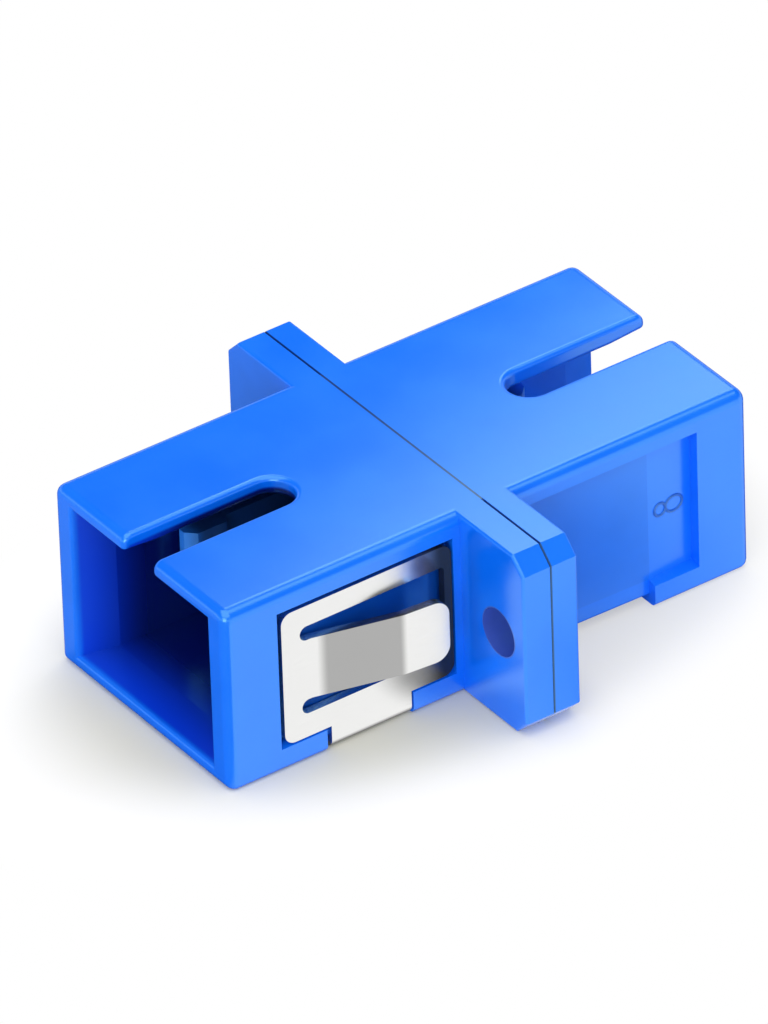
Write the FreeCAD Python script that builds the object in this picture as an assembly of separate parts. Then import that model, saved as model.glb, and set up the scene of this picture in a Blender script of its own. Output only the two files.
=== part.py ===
import FreeCAD, Part
import math
import os
from FreeCAD import Vector

# Straight-through adapter for two push-pull fibre plugs, in millimetres.
# +X runs along the optical axis from the front mouth to the rear mouth, Y runs across
# the two ears, +Z is up, and the origin is under the joint of the two housing halves.
# Every half is drawn with its joint at x = 0 and its mouth at +X. Front pieces are then mirrored.

# Housing half
half_length = 13.9
body_width = 12.8
body_height = 9.3
top_edge_radius = 0.55
bottom_edge_radius = 0.3
mouth_edge_radius = 0.45

# Plug cavity and its tapered mouth
cavity_width = 9.1
cavity_height = 7.5
mouth_flare_side = 0.6
mouth_flare_height = 0.15
mouth_flare_length = 1.9
mouth_lip_radius = 0.22

# Mounting flange
flange_width = 22.0
front_flange_thickness = 1.5
rear_flange_thickness = 1.4
ear_chamfer = 0.8
flange_edge_radius = 0.15
joint_bevel = 0.06
screw_pitch = 18.2
screw_hole_radius = 1.15

# Locating pegs that register the two halves before they are welded
peg_radius = 0.4
peg_length = 0.8
peg_root = 0.2
peg_offset = 7.6
peg_rise = 2.6
peg_clearance = 0.05

# Key slot in the roof of each mouth
key_slot_width = 2.15
key_slot_start = 5.8
key_slot_corner_radius = 0.25

# Side pocket and underside channel for the panel clip
pocket_start = 1.9
pocket_end = 11.15
pocket_sill = 1.13
pocket_sill_rise = 0.12
pocket_head = 1.05
pocket_depth = 0.45
pocket_flange_depth = 0.6
pocket_mouth_depth = 0.57
channel_start = 4.2
channel_end = 8.75
channel_depth = 0.42
channel_corner_radius = 0.15

# Seat that traps the wings of the inner latch between the two halves
seat_width = 11.4
seat_depth = 1.4
latch_clearance = 0.05

# Inner latch: hooks, and the barrel that carries the alignment sleeve
arm_outer = 4.15
arm_thickness = 0.6
arm_height = 3.0
arm_root_radius = 0.3
hook_reach = 9.1
hook_face = 3.13
hook_length = 2.2
hook_lead = 0.45
hook_back_slope = 0.25
barrel_radius = 2.35
barrel_reach = 6.4
barrel_tip_chamfer = 0.3
barrel_root_chamfer = 0.3
barrel_lip_radius = 1.45
barrel_lip_chamfer = 0.3
sleeve_end_play = 0.05
sleeve_clearance = 0.05
wing_chamfer = 0.25

# Split alignment sleeve
sleeve_radius = 1.6
ferrule_radius = 1.25
sleeve_length = 11.4
sleeve_slit = 0.5
sleeve_end_chamfer = 0.12

# Panel clip, one bent stamping of spring steel
clip_sheet = 0.4
clip_gap = 0.05
clip_edge_gap = 0.2
clip_flange_gap = 0.1
clip_corner_radius = 0.55
strap_gap = 0.23
strap_bend_radius = 0.1
window_start = 2.4
window_end = 9.45
window_sill = 2.45
window_height = 4.55
window_corner_radius = 0.2
relief_slot_length = 0.55
tongue_width = 3.1
tongue_end = 3.05
tongue_knee = 5.3
tongue_knee_rise = 1.06
tongue_end_rise = 1.25
tongue_corner_radius = 0.75
tongue_bend_radius = 1.5

# Heights and planes that follow from the sizes above
axis_height = body_height / 2
cavity_floor = axis_height - cavity_height / 2
cavity_roof = cavity_floor + cavity_height
mouth_floor = cavity_floor - mouth_flare_height
mouth_roof = cavity_roof + mouth_flare_height
mouth_side = cavity_width / 2 + mouth_flare_side
side_plane = body_width / 2
pocket_top = body_height - pocket_head

# How far a cutting shape runs past what it cuts, and how close two equal places lie
wall_pass = 1.0
same_place = 1e-4

# Largest share of the wall at the mouth that each of its two roundings may take
rim_share = 0.6
lip_share = 0.3


def block(x0, x1, y0, y1, z0, z1):
    return Part.makeBox(x1 - x0, y1 - y0, z1 - z0, Vector(x0, y0, z0))


def prism(points, direction):
    """Closed outline of straight lines, pushed along a direction."""
    outline = Part.makePolygon([Vector(*p) for p in points] + [Vector(*points[0])])
    return Part.Face(outline).extrude(Vector(*direction))


def rod(radius, x0, x1, y=0.0, z=axis_height):
    return Part.makeCylinder(radius, x1 - x0, Vector(x0, y, z), Vector(1, 0, 0))


def edges(shape, test):
    """Edges whose every sampled point passes the test."""
    found = []
    for edge in shape.Edges:
        samples = [edge.valueAt(edge.FirstParameter + share * (edge.LastParameter - edge.FirstParameter))
                   for share in (0.0, 0.5, 1.0)]
        if all(test(point) for point in samples):
            found.append(edge)
    return found


def near(a, b):
    return abs(a - b) < same_place


def both_sides(shape):
    """The shape and its mirror image across the middle plane y = 0."""
    return shape.fuse(shape.mirror(Vector(0, 0, 0), Vector(0, 1, 0)))


def to_front(shape):
    """Turn a half drawn towards +X into the front half."""
    return shape.mirror(Vector(0, 0, 0), Vector(1, 0, 0))


# Housing

def body_shell():
    """Outer block of one half with its soft edges."""
    body = block(0, half_length, -side_plane, side_plane, 0, body_height)
    for z, radius in ((body_height, top_edge_radius), (0, bottom_edge_radius)):
        body = body.makeFillet(radius, edges(body, lambda p: near(abs(p.y), side_plane) and near(p.z, z)))
    rim_round = min(mouth_edge_radius, rim_share * mouth_floor)
    return body.makeFillet(rim_round, edges(body, lambda p: near(p.x, half_length)))


def rectangle(x, half_width, low, high):
    return [Vector(x, -half_width, low), Vector(x, half_width, low),
            Vector(x, half_width, high), Vector(x, -half_width, high)]


def frustum(first, last):
    """Solid between two four-cornered outlines, with flat sides."""
    rings = [first, last] + [[first[i], first[i - 1], last[i - 1], last[i]] for i in range(4)]
    faces = [Part.Face(Part.makePolygon(ring + ring[:1])) for ring in rings]
    return Part.Solid(Part.Shell(faces))


def plug_cavity():
    """Square bore for the plug, with a mouth that flares out."""
    flare_start = half_length - mouth_flare_length
    inner = rectangle(flare_start, cavity_width / 2, cavity_floor, cavity_roof)
    outer = rectangle(half_length, mouth_side, mouth_floor, mouth_roof)
    bore = block(-wall_pass, flare_start, -cavity_width / 2, cavity_width / 2, cavity_floor, cavity_roof)
    return bore.fuse(frustum(inner, outer))


def flange(thickness):
    """Ears with chamfered corners, a soft panel side and a fine bevel at the joint."""
    y = flange_width / 2
    z = body_height
    c = ear_chamfer
    outline = [(0, -y, c), (0, c - y, 0), (0, y - c, 0), (0, y, c),
               (0, y, z - c), (0, y - c, z), (0, c - y, z), (0, -y, z - c)]
    ears = prism(outline, (thickness, 0, 0))
    ears = ears.makeFillet(flange_edge_radius, edges(ears, lambda p: near(p.x, thickness)))
    return ears.makeChamfer(joint_bevel, edges(ears, lambda p: near(p.x, 0)))


def key_slot():
    """Round-ended slot through the roof, open at the mouth."""
    half = key_slot_width / 2
    end = key_slot_start + half
    top = body_height + wall_pass
    slot = block(end, half_length + wall_pass, -half, half, axis_height, top)
    return slot.fuse(Part.makeCylinder(half, top - axis_height, Vector(end, 0, axis_height)))


def pocket_floor(x):
    """How far the floor of the side pocket lies from the middle: it falls away on both sides of a ridge."""
    flange_slope = (pocket_flange_depth - pocket_depth) / (channel_end - pocket_start)
    mouth_slope = (pocket_mouth_depth - pocket_depth) / (pocket_end - channel_end)
    fall = flange_slope * max(0.0, channel_end - x) + mouth_slope * max(0.0, x - channel_end)
    return side_plane - pocket_depth - fall


def recess_slice(stations, low, high):
    """Cut into the side wall, down to the pocket's floor at each station along X."""
    outside = side_plane + wall_pass
    outline = [(stations[0], outside)] + [(x, pocket_floor(x)) for x in stations] + [(stations[-1], outside)]
    return prism([(x, y, low) for x, y in outline], (0, 0, high - low))


def sill_wedge():
    """What the sill keeps under the pocket, so that its top falls outwards."""
    inside = side_plane - pocket_flange_depth - wall_pass
    rise = pocket_sill_rise * (side_plane - inside) / pocket_depth
    return prism([(pocket_start, side_plane, pocket_sill), (pocket_start, inside, pocket_sill),
                  (pocket_start, inside, pocket_sill + rise)], (pocket_end - pocket_start, 0, 0))


def clip_recess():
    """Pocket in each side wall, and the channel that leads the strap underneath."""
    outside = side_plane + wall_pass
    pocket = recess_slice([pocket_start, channel_end, pocket_end], pocket_sill, pocket_top).cut(sill_wedge())
    chute = recess_slice([channel_start, channel_end], -wall_pass, pocket_top)
    under = block(channel_start, channel_end, -outside, outside, -wall_pass, channel_depth)
    return both_sides(pocket.fuse(chute)).fuse(under).removeSplitter()


def peg_places():
    """Two pegs in each ear, above and below the screw hole."""
    return [(side * peg_offset, axis_height + rise * peg_rise) for side in (-1, 1) for rise in (-1, 1)]


def housing(flange_thickness, carries_pegs):
    """One moulded half, with everything that is cut into it."""
    half = body_shell().fuse(flange(flange_thickness)).removeSplitter().cut(plug_cavity())
    lip = edges(half, lambda p: near(p.x, half_length) and (near(abs(p.y), mouth_side)
                or near(p.z, mouth_floor) or near(p.z, mouth_roof)))
    half = half.makeFillet(min(mouth_lip_radius, lip_share * mouth_floor), lip)
    half = half.cut(block(-wall_pass, seat_depth, -seat_width / 2, seat_width / 2, cavity_floor, cavity_roof))
    half = half.cut(clip_recess()).cut(key_slot())
    through = flange_thickness + wall_pass
    for side in (-1, 1):
        half = half.cut(rod(screw_hole_radius, -wall_pass, through, side * screw_pitch / 2))
    for y, z in peg_places():
        if carries_pegs:
            half = half.fuse(rod(peg_radius, -peg_length, peg_root, y, z))
        else:
            half = half.cut(rod(peg_radius + peg_clearance, -wall_pass, peg_length + peg_clearance, y, z))
    half = half.removeSplitter()
    slot_corners = edges(half, lambda p: near(p.x, half_length) and near(abs(p.y), key_slot_width / 2))
    half = half.makeFillet(key_slot_corner_radius, slot_corners)
    channel_corners = edges(half, lambda p: near(p.z, channel_depth) and near(abs(p.y), pocket_floor(p.x)))
    return half.makeFillet(channel_corner_radius, channel_corners)


# Inner latch

def hook():
    """Spring arm with a barb, on the +Y side."""
    inner = arm_outer - arm_thickness
    outline = [(seat_depth / 2, arm_outer), (hook_reach - hook_lead / 2, arm_outer),
               (hook_reach, arm_outer - hook_lead / 2), (hook_reach, hook_face + hook_lead),
               (hook_reach - hook_lead, hook_face), (hook_reach - hook_length + hook_back_slope, hook_face),
               (hook_reach - hook_length, inner), (seat_depth / 2, inner)]
    low = axis_height - arm_height / 2
    return prism([(x, y, low) for x, y in outline], (0, 0, arm_height))


def barrel_bore():
    """Room for one half of the sleeve, closed by a lip that a ferrule passes."""
    room = rod(sleeve_radius + sleeve_clearance, -wall_pass, sleeve_length / 2 + sleeve_end_play)
    hole = rod(barrel_lip_radius, -wall_pass, barrel_reach + wall_pass)
    lead = Part.makeCone(barrel_lip_radius, barrel_lip_radius + barrel_lip_chamfer, barrel_lip_chamfer,
                         Vector(barrel_reach - barrel_lip_chamfer, 0, axis_height), Vector(1, 0, 0))
    return room.fuse(hole).fuse(lead)


def core_window():
    """Opening in the plate behind a barb, left by the mould core that forms the barb's back."""
    return block(-wall_pass, seat_depth + arm_root_radius, hook_face - latch_clearance,
                 arm_outer - arm_thickness, axis_height - arm_height / 2, axis_height + arm_height / 2)


def inner_latch():
    wing = seat_width / 2 - latch_clearance
    low = cavity_floor + latch_clearance
    high = cavity_roof - latch_clearance
    plate = block(0, seat_depth, -wing, wing, low, high)
    wing_tips = edges(plate, lambda p: near(abs(p.y), wing) and near(p.x, seat_depth))
    plate = plate.makeChamfer(wing_chamfer, wing_tips)
    latch = plate.fuse(both_sides(hook())).fuse(rod(barrel_radius, 0, barrel_reach)).removeSplitter()
    roots = edges(latch, lambda p: near(p.x, seat_depth)
                  and (near(abs(p.y), arm_outer) or near(abs(p.y), arm_outer - arm_thickness)))
    latch = latch.makeFillet(arm_root_radius, roots)
    for x, size in ((seat_depth, barrel_root_chamfer), (barrel_reach, barrel_tip_chamfer)):
        ring = edges(latch, lambda p: near(p.x, x) and near(math.hypot(p.y, p.z - axis_height), barrel_radius))
        latch = latch.makeChamfer(size, ring)
    return latch.cut(barrel_bore()).cut(both_sides(core_window())).removeSplitter()


# Alignment sleeve

def split_sleeve():
    """Ceramic tube with one slit along its whole length."""
    half = sleeve_length / 2
    tube = rod(sleeve_radius, -half, half)
    tube = tube.makeChamfer(sleeve_end_chamfer, edges(tube, lambda p: near(abs(p.x), half)))
    tube = tube.cut(rod(ferrule_radius, -half - wall_pass, half + wall_pass))
    return tube.cut(block(-half - wall_pass, half + wall_pass, -sleeve_slit / 2, sleeve_slit / 2,
                          axis_height, axis_height + sleeve_radius + wall_pass))


# Panel clip

clip_inside = side_plane - pocket_depth + clip_gap
clip_outside = clip_inside + clip_sheet
plate_start = pocket_start + clip_flange_gap
plate_end = pocket_end - clip_edge_gap
plate_bottom = pocket_sill + pocket_sill_rise
plate_top = pocket_top - clip_edge_gap
strap_start = channel_start + clip_flange_gap
strap_end = channel_end - strap_gap
strap_top = channel_depth
tongue_low = window_sill + (window_height - tongue_width) / 2


def clip_plate():
    """Flat side plate with its window, on the +Y side."""
    plate = block(plate_start, plate_end, clip_inside, clip_outside, plate_bottom, plate_top)
    corners = edges(plate, lambda p: (near(p.x, plate_start) or near(p.x, plate_end))
                    and (near(p.z, plate_bottom) or near(p.z, plate_top)))
    plate = plate.makeFillet(clip_corner_radius, corners)
    window = block(window_start, window_end, clip_inside - wall_pass, clip_outside + wall_pass,
                   window_sill, window_sill + window_height)
    window_corners = edges(window, lambda p: near(p.x, window_start) and (near(p.z, window_sill)
                           or near(p.z, window_sill + window_height)))
    plate = plate.cut(window.makeFillet(window_corner_radius, window_corners))
    slot_radius = (window_height - tongue_width) / 4
    slot_tip = window_end + relief_slot_length - slot_radius
    for level in (window_sill + slot_radius, window_sill + window_height - slot_radius):
        slot = block(window_end - slot_radius, slot_tip, clip_inside - wall_pass, clip_outside + wall_pass,
                     level - slot_radius, level + slot_radius)
        tip = Part.makeCylinder(slot_radius, clip_sheet + 2 * wall_pass,
                                Vector(slot_tip, clip_inside - wall_pass, level), Vector(0, 1, 0))
        plate = plate.cut(slot.fuse(tip))
    return plate


def clip_tongue():
    """Spring tongue that leans out of the window, and leans less past its knee."""
    root = window_end
    lean = math.atan2(tongue_knee_rise, root - tongue_knee)
    end_lean = math.atan2(tongue_end_rise - tongue_knee_rise, tongue_knee - tongue_end)
    outer = [(root + relief_slot_length / 2, clip_outside), (root, clip_outside),
             (tongue_knee, clip_outside + tongue_knee_rise), (tongue_end, clip_outside + tongue_end_rise)]
    root_shift = clip_sheet * math.tan(lean / 2)
    knee_shift = clip_sheet * math.tan((lean - end_lean) / 2)
    along = Vector(math.cos(end_lean), -math.sin(end_lean), 0)
    across = Vector(-math.sin(end_lean), -math.cos(end_lean), 0)
    knee = Vector(tongue_knee, clip_outside + tongue_knee_rise, 0)
    end = Vector(tongue_end, clip_outside + tongue_end_rise, 0)
    inner_knee = knee + across * clip_sheet + along * knee_shift
    inner_end = end + across * clip_sheet
    inner = [(inner_end.x, inner_end.y), (inner_knee.x, inner_knee.y),
             (root - root_shift, clip_inside), (root + relief_slot_length / 2, clip_inside)]
    strip = prism([(x, y, tongue_low) for x, y in outer + inner], (0, 0, tongue_width))
    bend_out = edges(strip, lambda p: near(p.x, tongue_knee))
    bend_in = edges(strip, lambda p: near(p.x, inner_knee.x) and near(p.y, inner_knee.y))
    strip = strip.makeFillet(tongue_bend_radius + clip_sheet, bend_out)
    strip = strip.makeFillet(tongue_bend_radius, bend_in)
    tip_corners = edges(strip, lambda p: near((Vector(p.x, p.y, 0) - end).dot(along), 0)
                        and (near(p.z, tongue_low) or near(p.z, tongue_low + tongue_width)))
    return strip.makeFillet(tongue_corner_radius, tip_corners)


def trough(start, end, half_width, floor, top, corner_radius):
    """Block with its two lower long edges rounded."""
    shape = block(start, end, -half_width, half_width, floor, top)
    corners = edges(shape, lambda p: near(p.z, floor) and near(abs(p.y), half_width))
    return shape.makeFillet(corner_radius, corners)


def clip_strap():
    """Band that joins the two plates underneath, bent up at both sides."""
    top = plate_bottom + clip_corner_radius
    outer = trough(strap_start, strap_end, clip_outside, strap_top - clip_sheet, top,
                   strap_bend_radius + clip_sheet)
    inner = trough(strap_start - wall_pass, strap_end + wall_pass, clip_inside, strap_top, top + wall_pass,
                   strap_bend_radius)
    return outer.cut(inner)


def panel_clip():
    sides = both_sides(clip_plate().fuse(clip_tongue()))
    return sides.fuse(clip_strap()).removeSplitter()


parts = {
    "front_housing": to_front(housing(front_flange_thickness, True)),
    "rear_housing": housing(rear_flange_thickness, False),
    "front_inner_latch": to_front(inner_latch()),
    "rear_inner_latch": inner_latch(),
    "split_sleeve": split_sleeve(),
    "panel_clip": to_front(panel_clip()),
}

os.makedirs("parts", exist_ok=True)
for name, shape in parts.items():
    solid = shape.Solids[0]
    print(name, "solids", len(shape.Solids), "valid", shape.isValid(), "volume", round(shape.Volume, 3))
    solid.exportStep(f"parts/{name}.step")
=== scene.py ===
import math

import bpy
from mathutils import Matrix, Vector


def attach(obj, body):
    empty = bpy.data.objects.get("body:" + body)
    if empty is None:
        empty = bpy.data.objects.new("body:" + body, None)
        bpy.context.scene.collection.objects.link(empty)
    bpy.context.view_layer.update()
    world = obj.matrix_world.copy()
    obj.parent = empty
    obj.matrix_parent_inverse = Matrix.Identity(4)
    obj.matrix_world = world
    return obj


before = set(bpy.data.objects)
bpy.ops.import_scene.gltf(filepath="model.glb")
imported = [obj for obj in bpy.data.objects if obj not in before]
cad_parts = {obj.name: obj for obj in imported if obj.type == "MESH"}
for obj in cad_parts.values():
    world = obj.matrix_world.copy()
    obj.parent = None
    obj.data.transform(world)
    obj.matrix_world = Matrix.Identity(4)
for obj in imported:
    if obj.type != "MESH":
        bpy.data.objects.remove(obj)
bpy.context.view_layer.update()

# Straight-through fibre adapter: two moulded halves, a steel panel clip, the inner latches and
# the ceramic sleeve. Lengths are in millimetres until a mesh, lamp or camera is made.
MM = 0.001

# Viewpoint
VIEW_AZIMUTH = -34.407
VIEW_ELEVATION = 34.851
VIEW_ROLL = 2.004
VIEW_DISTANCE = 699.27
VIEW_AIM = (-0.513, 0.744, 5.114)
LENS = 566.33

# Colours, as the light they send back, red green blue
HOUSING_BLUE = (0.001, 0.155, 0.95)
# Painted shade: a deeper blue inside the front cavity, then a near-black blue for painted shade that is
# also the joint line's own dark colour; the holes' and the digit's blues are painted shade too
CAVITY_SHADE_BLUE = (0.001, 0.042, 0.74)
SHADE_AND_JOINT_BLUE = (0.001, 0.002, 0.07)
HOLE_SHADE_BLUE = (0.05, 0.1, 0.5)
DIGIT_SHADE_BLUE = (0.004, 0.07, 0.5)
LATCH_BLUE = (0.02, 0.24, 1.0)
PLASTIC_SHEEN = (0.46, 1.0, 1.0)
CERAMIC_WHITE = (0.86, 0.84, 0.78)
STEEL = (0.9, 0.9, 0.89)

# How far the plain blue goes over to the shaded one: painted shade deep in the front cavity, behind the
# clip, on the slope of the rear pocket and behind the tips of the hooks, and the joint line's own dark
# colour
CAVITY_SHADE = 0.92
POCKET_SHADE = 0.6
SLOPE_SHADE = 0.12
JOINT_DARKNESS = 0.9
LATCH_SHADE = 0.85

# How bright the clip's tongue and the dark end of its plate are, beside the plain steel: painted
# reflections, grey on the tongue and near-black at the plate's end by the flange
TONGUE_REFLECTION_LEVEL = 0.49
PLATE_END_REFLECTION_LEVEL = 0.08

# Places that the finishes go by, as distances from the joint, the middle plane or the floor
JOINT_LINE = 0.03
MOUTH = 13.9
SIDE = 6.4
CAVITY_DEEP = 10.2
CAVITY_SIDE = 5.3
CAVITY_LOW = 0.6
CAVITY_HIGH = 8.7
POCKET_SIDE = 6.02
POCKET_LOW = 1.3
POCKET_HIGH = 8.2
POCKET_END = 11.3
SLOPE_START = 1.9
SLOPE_END = 8.75
HOOK_TIP = 9.2
HOOK_TOP = 5.4
HOLE_AXIS = (9.1, 4.65, 0.0)
HOLE_RADIUS = 1.15
TONGUE_ROOT = 9.2
TONGUE_KNEE = 5.4
CLIP_END = 2.0
PLATE_DARK = 2.5
PLATE_PLAIN = 4.3

# Moulded digit 8 on the pad of the rear half's near pocket, lying on its side: where its two
# loops meet, the length and width of each, the radius of its line and the steps round a loop
DIGIT_WAIST = (9.73, 4.66)
DIGIT_TOP_LOOP = (0.61, 0.64)
DIGIT_FOOT_LOOP = (0.94, 0.78)
DIGIT_STROKE = 0.065
DIGIT_STEPS = 24

# The world's plain light. In a gloss it is white below the first of two heights and dim above
# the second.
WORLD_LIGHT = 0.64
WORLD_MIRRORED = 0.02
WORLD_HEIGHTS = (0.05, 0.4)

# How far the square lamps stand from the part
SOFTBOX_DISTANCE = 500.0

# The floor's paper as the eye sees it: greyer at the part's foot, a painted shadow over the real one, white
# past it, and glowing whiter on the right of the part, painted light over its shadow. Each fade runs over
# two distances from the middle, which count for less along the part, as it is long.
FLOOR_REACH = 2000.0
FLOOR_DROP = 0.01
PAPER_WHITE = (0.95, 0.95, 0.95)
FOOT_SHADOW_GREY = (0.7, 0.69, 0.6)
FOOT_STRETCH = (0.62, 1.0, 1.0)
FOOT_FADE = (8.0, 14.0)
WHITE_FADE = (9.5, 16.0)
WHITE_AT_FOOT = 0.03
WHITE_ON_RIGHT = 0.45
RIGHT_FADE = (0.0, 4.0)

# The floor as a gloss shows it: bright in front of the near side, but for two dim spots of painted shadow,
# which each have a place and the two distances over which they fade, and dim on the left and behind
BRIGHT_FROM_X = -13.5
BRIGHT_FROM_Y = 6.8
DIM_SPOTS = (((7.5, -11.5, 0.0), (1.5, 9.0)), ((-1.5, -8.5, 0.0), (1.0, 3.2)))
SPOT_MIRRORED = 0.3
LEFT_MIRRORED = 0.05
BEHIND_MIRRORED = 0.2
BEHIND_FADE = (6.0, 7.0)


class Value:
    """A shader socket that takes part in plain arithmetic."""

    def __init__(self, bench, socket):
        self.bench = bench
        self.socket = socket

    def math(self, operation, *terms):
        return self.bench.node("Math", {"operation": operation}, dict(enumerate(terms)))

    def __add__(self, other):
        return self.math("ADD", self, other)

    def __radd__(self, other):
        return self.math("ADD", other, self)

    def __sub__(self, other):
        return self.math("SUBTRACT", self, other)

    def __rsub__(self, other):
        return self.math("SUBTRACT", other, self)

    def __mul__(self, other):
        return self.math("MULTIPLY", self, other)

    def __rmul__(self, other):
        return self.math("MULTIPLY", other, self)

    def away(self):
        """Distance from zero."""
        return self.math("ABSOLUTE", self)

    def step(self, low, high):
        """0 below low, 1 above high, with a soft rise between them."""
        return self.bench.node("MapRange", {"interpolation_type": "SMOOTHSTEP"},
                               {"Value": self, "From Min": low, "From Max": high})

    def above(self, limit, soft):
        """1 above the limit, and 0 from that soft measure under it."""
        return self.step(limit - soft, limit)

    def below(self, limit, soft):
        """1 below the limit, and 0 from that soft measure over it."""
        return 1 - self.step(limit, limit + soft)


class Bench:
    """Lays nodes in the tree of one material, or of the world."""

    def __init__(self, owner):
        owner.use_nodes = True
        self.tree = owner.node_tree
        self.tree.nodes.clear()

    def node(self, kind, settings=None, sockets=None, output=0):
        """One node: its settings first, then its sockets. Gives the output that is asked for."""
        made = self.tree.nodes.new("ShaderNode" + kind)
        for name, setting in (settings or {}).items():
            setattr(made, name, setting)
        for name, given in (sockets or {}).items():
            if isinstance(given, Value):
                self.tree.links.new(given.socket, made.inputs[name])
            else:
                made.inputs[name].default_value = given
        return Value(self, made.outputs[output]) if made.outputs else None

    def place(self, stretch=(1.0, 1.0, 1.0)):
        """Where a point of the piece lies, in millimetres, stretched along each axis."""
        metres = self.node("TexCoord", output="Object")
        return self.node("VectorMath", {"operation": "MULTIPLY"},
                         {0: metres, 1: tuple(factor / MM for factor in stretch)})

    def axes(self, place):
        """The three measures of a place."""
        return [self.node("SeparateXYZ", {}, {"Vector": place}, axis) for axis in "XYZ"]

    def distance(self, place, spot):
        return self.node("VectorMath", {"operation": "DISTANCE"}, {0: place, 1: spot}, "Value")

    def noise(self, place, scale, detail):
        return self.node("TexNoise", {}, {"Vector": place, "Scale": scale, "Detail": detail}, "Fac")

    def blend(self, share, first, second):
        """A colour between two colours."""
        return self.node("Mix", {"data_type": "RGBA"}, {0: share, 6: first, 7: second}, 2)

    def bump(self, height, depth):
        """Relief of that depth in millimetres."""
        return self.node("Bump", {}, {"Height": height, "Distance": depth * MM})

    def glow(self, strength):
        """White that shows at that strength, whatever the light."""
        return self.node("Emission", {}, {"Color": (1, 1, 1, 1), "Strength": strength})

    def finish(self, surface, kind="OutputMaterial"):
        self.node(kind, {}, {"Surface": surface})


def tone(colour, factor=1.0):
    return tuple(channel * factor for channel in colour) + (1.0,)


# Finishes

def hollow(y, z, side, low, high, soft):
    """1 between the two side walls of a hollow, over its floor and under its roof."""
    return y.away().below(side, soft) * z.above(low, soft) * z.below(high, soft)


def housing_colour(bench, place, plain):
    """The plain colour, with painted shade in the front cavity, behind the clip, on the rear pocket's slope
    and in the screw holes, and a dark joint line.
    """
    x, y, z = bench.axes(place)
    front = x.below(0.0, 1.0)
    cavity = hollow(y, z, CAVITY_SIDE, CAVITY_LOW, CAVITY_HIGH, 0.2)
    # Painted shade: a deeper blue inside the front cavity, and darkening deep in it, behind the clip and on
    # the rear pocket's slope
    inside = cavity * x.away().below(MOUTH - 0.4, 0.3) * front
    deep = cavity * x.away().below(CAVITY_DEEP, MOUTH - CAVITY_DEEP) * front
    sunk = hollow(y, z, POCKET_SIDE, POCKET_LOW, POCKET_HIGH, 0.1) * (1 - cavity)
    sunk = sunk * x.away().below(POCKET_END, 0.1)
    pocket = sunk * x.below(-CLIP_END, 0.1)
    slope = sunk * x.above(SLOPE_START + 0.3, 0.3) * x.below(SLOPE_END, 0.05)
    # The joint line's own dark colour
    joint = x.away().below(JOINT_LINE, 0.05) * (1 - cavity)
    shade = deep * CAVITY_SHADE + pocket * POCKET_SHADE + slope * SLOPE_SHADE + joint * JOINT_DARKNESS
    # Painted shade inside the screw holes
    across = bench.node("CombineXYZ", {}, {"X": y.away(), "Y": z})
    hole_shade = bench.distance(across, HOLE_AXIS).below(HOLE_RADIUS, 0.1)
    colour = bench.blend(inside, plain, tone(CAVITY_SHADE_BLUE))
    colour = bench.blend(shade, colour, tone(SHADE_AND_JOINT_BLUE))
    return bench.blend(hole_shade, colour, tone(HOLE_SHADE_BLUE))


def latch_colour(bench, place, plain):
    """The plain colour at the tips of the hooks, and painted shade behind them."""
    x, y, z = bench.axes(place)
    tip = x.away().above(HOOK_TIP, 1.0) * z.above(HOOK_TOP, 0.8)
    return bench.blend((1 - tip) * LATCH_SHADE, plain, tone(SHADE_AND_JOINT_BLUE))


def moulded_plastic(name, colour, roughness, colour_by_place=None):
    """Injection moulding: even colour, faint flow clouds, a fine tool texture under a satin skin."""
    material = bpy.data.materials.new(name)
    bench = Bench(material)
    place = bench.place()
    cloud = bench.noise(place, 0.3, 3.0)
    grain = bench.noise(place, 14.0, 3.0)
    colour_over = bench.blend(cloud.step(0.3, 0.7), tone(colour, 0.96), tone(colour, 1.04))
    # A colour by place, where given, paints shade over the even colour
    if colour_by_place:
        colour_over = colour_by_place(bench, place, colour_over)
    bench.finish(bench.node("BsdfPrincipled", {}, {
        "Base Color": colour_over,
        "Roughness": roughness + (cloud - 0.5) * 0.1 + (grain - 0.5) * 0.06,
        "IOR": 1.7,
        "Specular IOR Level": 1.0,
        "Specular Tint": tone(PLASTIC_SHEEN),
        "Normal": bench.bump(grain, 0.0006)}))
    return material


def rolled_steel(name, colour):
    """Bright spring steel, with painted dark reflections on the tongue and by the flange: long rolling
    marks, a soft mirror.
    """
    material = bpy.data.materials.new(name)
    bench = Bench(material)
    marks = bench.noise(bench.place((0.5, 12.0, 12.0)), 2.5, 4.0)
    smear = bench.noise(bench.place(), 0.6, 2.0)
    x, y, z = bench.axes(bench.place())
    tongue = (y.away().above(SIDE + 0.2, 0.15) * x.away().above(TONGUE_KNEE + 0.1, 0.4)
              * x.away().below(TONGUE_ROOT - 0.1, 0.1))
    end = x.away().below(PLATE_DARK, PLATE_PLAIN - PLATE_DARK) * y.away().below(SIDE + 0.02, 0.08)
    colour_over = bench.blend(marks, tone(colour, 0.93), tone(colour, 1.05))
    # Painted reflections: grey on the tongue, and near-black and less metallic at the plate's end
    colour_over = bench.blend(tongue, colour_over, tone(colour, TONGUE_REFLECTION_LEVEL))
    colour_over = bench.blend(end, colour_over, tone(colour, PLATE_END_REFLECTION_LEVEL))
    bench.finish(bench.node("BsdfPrincipled", {}, {
        "Base Color": colour_over,
        "Metallic": 1 - end * 0.15,
        "Roughness": 0.2 + (smear - 0.5) * 0.1 + (marks - 0.5) * 0.08,
        "Normal": bench.bump(marks, 0.0005)}))
    return material


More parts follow.
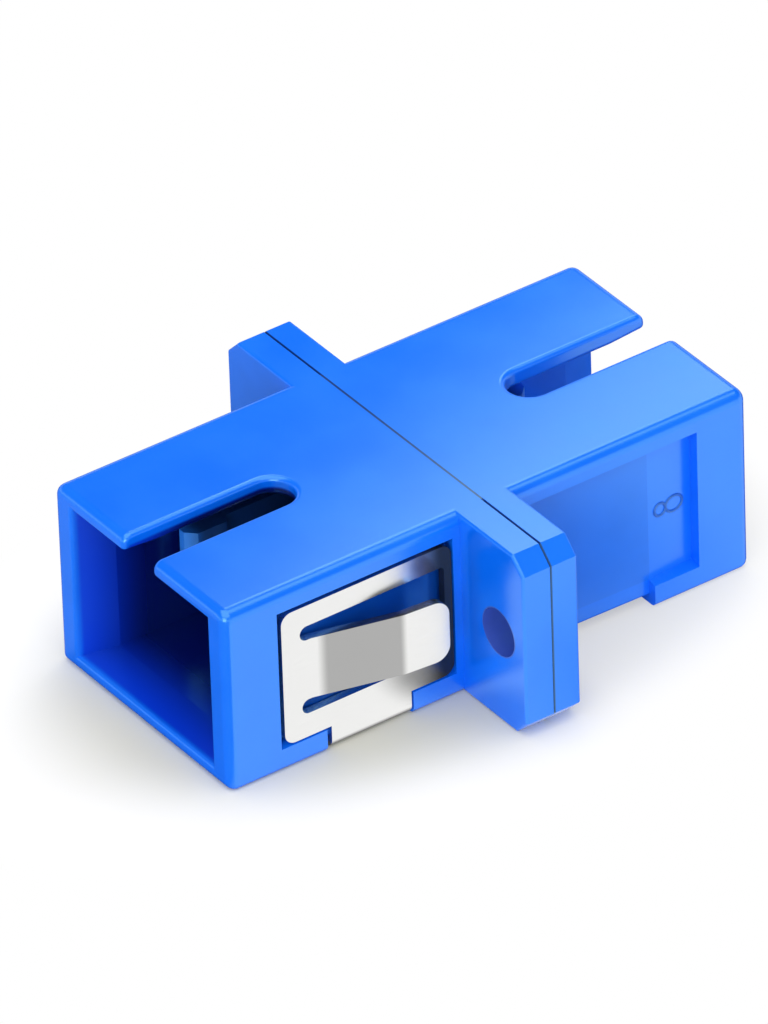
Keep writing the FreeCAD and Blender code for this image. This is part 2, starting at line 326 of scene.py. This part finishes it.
def ground_ceramic(name, colour):
    """Zirconia, ground round its outside and polished in its bore."""
    material = bpy.data.materials.new(name)
    bench = Bench(material)
    rings = bench.noise(bench.place((30.0, 0.4, 0.4)), 1.0, 3.0)
    cloud = bench.noise(bench.place(), 0.8, 2.0)
    bench.finish(bench.node("BsdfPrincipled", {}, {
        "Base Color": bench.blend(cloud.step(0.3, 0.7), tone(colour, 0.97), tone(colour, 1.02)),
        "Roughness": 0.22 + (rings - 0.5) * 0.15,
        "IOR": 2.1,
        "Normal": bench.bump(rings, 0.0004)}))
    return material


def studio_paper(name):
    """White paper to the eye, with the part's shadow on it, deepened by painted shadow at its foot and
    paled by painted light on its right; in a gloss, bright in front of the part with dim patches of painted
    shadow.
    """
    material = bpy.data.materials.new(name)
    bench = Bench(material)
    place = bench.place()
    x, y, z = bench.axes(place)
    from_middle = bench.node("VectorMath", {"operation": "LENGTH"}, {0: bench.place(FOOT_STRETCH)}, "Value")
    seen = bench.node("LightPath", output="Is Camera Ray")
    mirrored = bench.node("LightPath", output="Is Glossy Ray")

    # Painted shadow: the paper greys at the part's foot, for the eye only
    foot = seen * (1 - from_middle.step(*FOOT_FADE))
    paper = bench.node("BsdfDiffuse", {}, {"Color": bench.blend(foot, tone(PAPER_WHITE), tone(FOOT_SHADOW_GREY))})
    # The paper glows white to the eye away from the foot, and more on the part's right, painted light that
    # pales its shadow
    white = seen * (WHITE_AT_FOOT + from_middle.step(*WHITE_FADE) * (1 - WHITE_AT_FOOT)
                    + x.step(*RIGHT_FADE) * WHITE_ON_RIGHT)
    direct = bench.node("MixShader", {}, {0: white, 1: paper, 2: bench.glow(1.0)})

    front = x.above(BRIGHT_FROM_X, 1.0) * (0 - y).above(BRIGHT_FROM_Y, 0.8)
    bright = front
    for spot, fade in DIM_SPOTS:
        bright = bright * (SPOT_MIRRORED + bench.distance(place, spot).step(*fade) * (1 - SPOT_MIRRORED))
    behind = y.step(*BEHIND_FADE) * BEHIND_MIRRORED
    in_gloss = bench.glow(bright + behind + (1 - front) * LEFT_MIRRORED)
    bench.finish(bench.node("MixShader", {}, {0: mirrored, 1: direct, 2: in_gloss}))
    return material


# Camera, lamps and floor

def make_camera():
    camera = bpy.data.objects.new("viewpoint", bpy.data.cameras.new("viewpoint"))
    bpy.context.scene.collection.objects.link(camera)
    azimuth, elevation, roll = (math.radians(angle) for angle in (VIEW_AZIMUTH, VIEW_ELEVATION, VIEW_ROLL))
    turn = (Matrix.Rotation(azimuth, 4, "Z") @ Matrix.Rotation(math.pi / 2 - elevation, 4, "X")
            @ Matrix.Rotation(-roll, 4, "Z"))
    away = turn @ Vector((0, 0, VIEW_DISTANCE))
    camera.matrix_world = Matrix.Translation((Vector(VIEW_AIM) + away) * MM) @ turn
    camera.data.lens = LENS
    camera.data.clip_start = 0.01
    camera.data.clip_end = 10.0
    bpy.context.scene.camera = camera


def make_lamp(name, length, width, energy, where):
    """Flat lamp that shines down its own z axis."""
    lamp = bpy.data.lights.new(name, "AREA")
    lamp.shape = "RECTANGLE"
    lamp.size = length * MM
    lamp.size_y = width * MM
    lamp.energy = energy
    holder = bpy.data.objects.new(name, lamp)
    bpy.context.scene.collection.objects.link(holder)
    holder.matrix_world = where


def make_softbox(name, azimuth, elevation, size, level):
    """Square lamp that looks at the part. A white card that faces it shows that level."""
    energy = level * (math.pi * SOFTBOX_DISTANCE * MM) ** 2
    turn = (Matrix.Rotation(math.radians(azimuth), 4, "Z")
            @ Matrix.Rotation(math.radians(90.0 - elevation), 4, "X"))
    make_lamp(name, size, size, energy, turn @ Matrix.Translation((0, 0, SOFTBOX_DISTANCE * MM)))


def make_panel(name, centre, turn, length, width, brightness):
    """Lamp that faces down. It shows in a mirror at that brightness, where white is 1."""
    energy = brightness * math.pi * length * MM * width * MM
    where = Matrix.Translation(Vector(centre) * MM) @ Matrix.Rotation(math.radians(turn), 4, "Z")
    make_lamp(name, length, width, energy, where)


def make_world():
    """White to the eye, an even light all round the part, and in a gloss white low down and dim above."""
    world = bpy.data.worlds.new("studio")
    bpy.context.scene.world = world
    bench = Bench(world)
    seen = bench.node("LightPath", output="Is Camera Ray")
    mirrored = bench.node("LightPath", output="Is Glossy Ray")
    height = bench.axes(bench.node("TexCoord", output="Generated"))[2]
    white = WORLD_MIRRORED + (1 - height.step(*WORLD_HEIGHTS)) * (1 - WORLD_MIRRORED)
    strength = WORLD_LIGHT + seen * (1 - WORLD_LIGHT) + mirrored * (white - WORLD_LIGHT)
    light = bench.node("Background", {}, {"Color": (1, 1, 1, 1), "Strength": strength})
    bench.finish(light, "OutputWorld")


def make_floor():
    reach = FLOOR_REACH * MM
    corners = [(-reach, -reach, 0), (reach, -reach, 0), (reach, reach, 0), (-reach, reach, 0)]
    mesh = bpy.data.meshes.new("floor")
    mesh.from_pydata(corners, [], [(0, 1, 2, 3)])
    mesh.materials.append(studio_paper("floor_paper"))
    floor = bpy.data.objects.new("floor", mesh)
    bpy.context.scene.collection.objects.link(floor)
    floor.location.z = -FLOOR_DROP * MM


# Pieces

def dress(nodes, material):
    for name in nodes:
        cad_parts[name].data.materials[0] = material


def loop_line(side, length, width):
    """Places of one loop of the digit, as x and z, from the waist to that side."""
    x, z = DIGIT_WAIST
    return [(x + side * length / 2 * (1 - math.cos(angle)), z + width / 2 * math.sin(angle))
            for angle in (math.radians(360 / DIGIT_STEPS * step) for step in range(DIGIT_STEPS))]


def make_digit(material):
    """Raised bead of the mould's cavity number, on the near pad of the rear half."""
    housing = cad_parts["rear_housing"]
    curve = bpy.data.curves.new("digit_line", "CURVE")
    curve.dimensions = "3D"
    curve.bevel_depth = DIGIT_STROKE * MM
    curve.bevel_resolution = 3
    for side, size in ((-1, DIGIT_TOP_LOOP), (1, DIGIT_FOOT_LOOP)):
        line = loop_line(side, *size)
        spline = curve.splines.new("POLY")
        spline.points.add(len(line) - 1)
        spline.use_cyclic_u = True
        for point, (x, z) in zip(spline.points, line):
            seat = housing.ray_cast(Vector((x, -30.0, z)) * MM, Vector((0, 1, 0)))[1]
            point.co = (*seat, 1.0)
    bead = bpy.data.objects.new("digit_line", curve)
    bpy.context.scene.collection.objects.link(bead)
    bpy.context.view_layer.update()
    mesh = bpy.data.meshes.new_from_object(bead.evaluated_get(bpy.context.evaluated_depsgraph_get()))
    bpy.data.objects.remove(bead)
    piece = bpy.data.objects.new("cavity_digit", mesh)
    bpy.context.scene.collection.objects.link(piece)
    mesh.polygons.foreach_set("use_smooth", [True] * len(mesh.polygons))
    mesh.materials.clear()
    mesh.materials.append(material)
    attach(piece, "root")


bpy.context.scene.view_settings.view_transform = "Standard"
make_camera()
make_world()
make_floor()
make_softbox("top", azimuth=325, elevation=75, size=700, level=0.8)
make_softbox("front", azimuth=312, elevation=15, size=300, level=0.3)
make_panel("sheen", centre=(35.0, 29.0, 46.0), turn=20, length=60, width=24, brightness=1.9)

housing_plastic = moulded_plastic("housing_plastic", HOUSING_BLUE, 0.22, housing_colour)
latch_plastic = moulded_plastic("latch_plastic", LATCH_BLUE, 0.45, latch_colour)
dress(["front_housing", "rear_housing"], housing_plastic)
dress(["front_inner_latch", "rear_inner_latch"], latch_plastic)
dress(["split_sleeve"], ground_ceramic("sleeve_ceramic", CERAMIC_WHITE))
dress(["panel_clip"], rolled_steel("clip_steel", STEEL))
# The digit's darker blue is painted shade on its bead
make_digit(moulded_plastic("digit_plastic", DIGIT_SHADE_BLUE, 0.4))
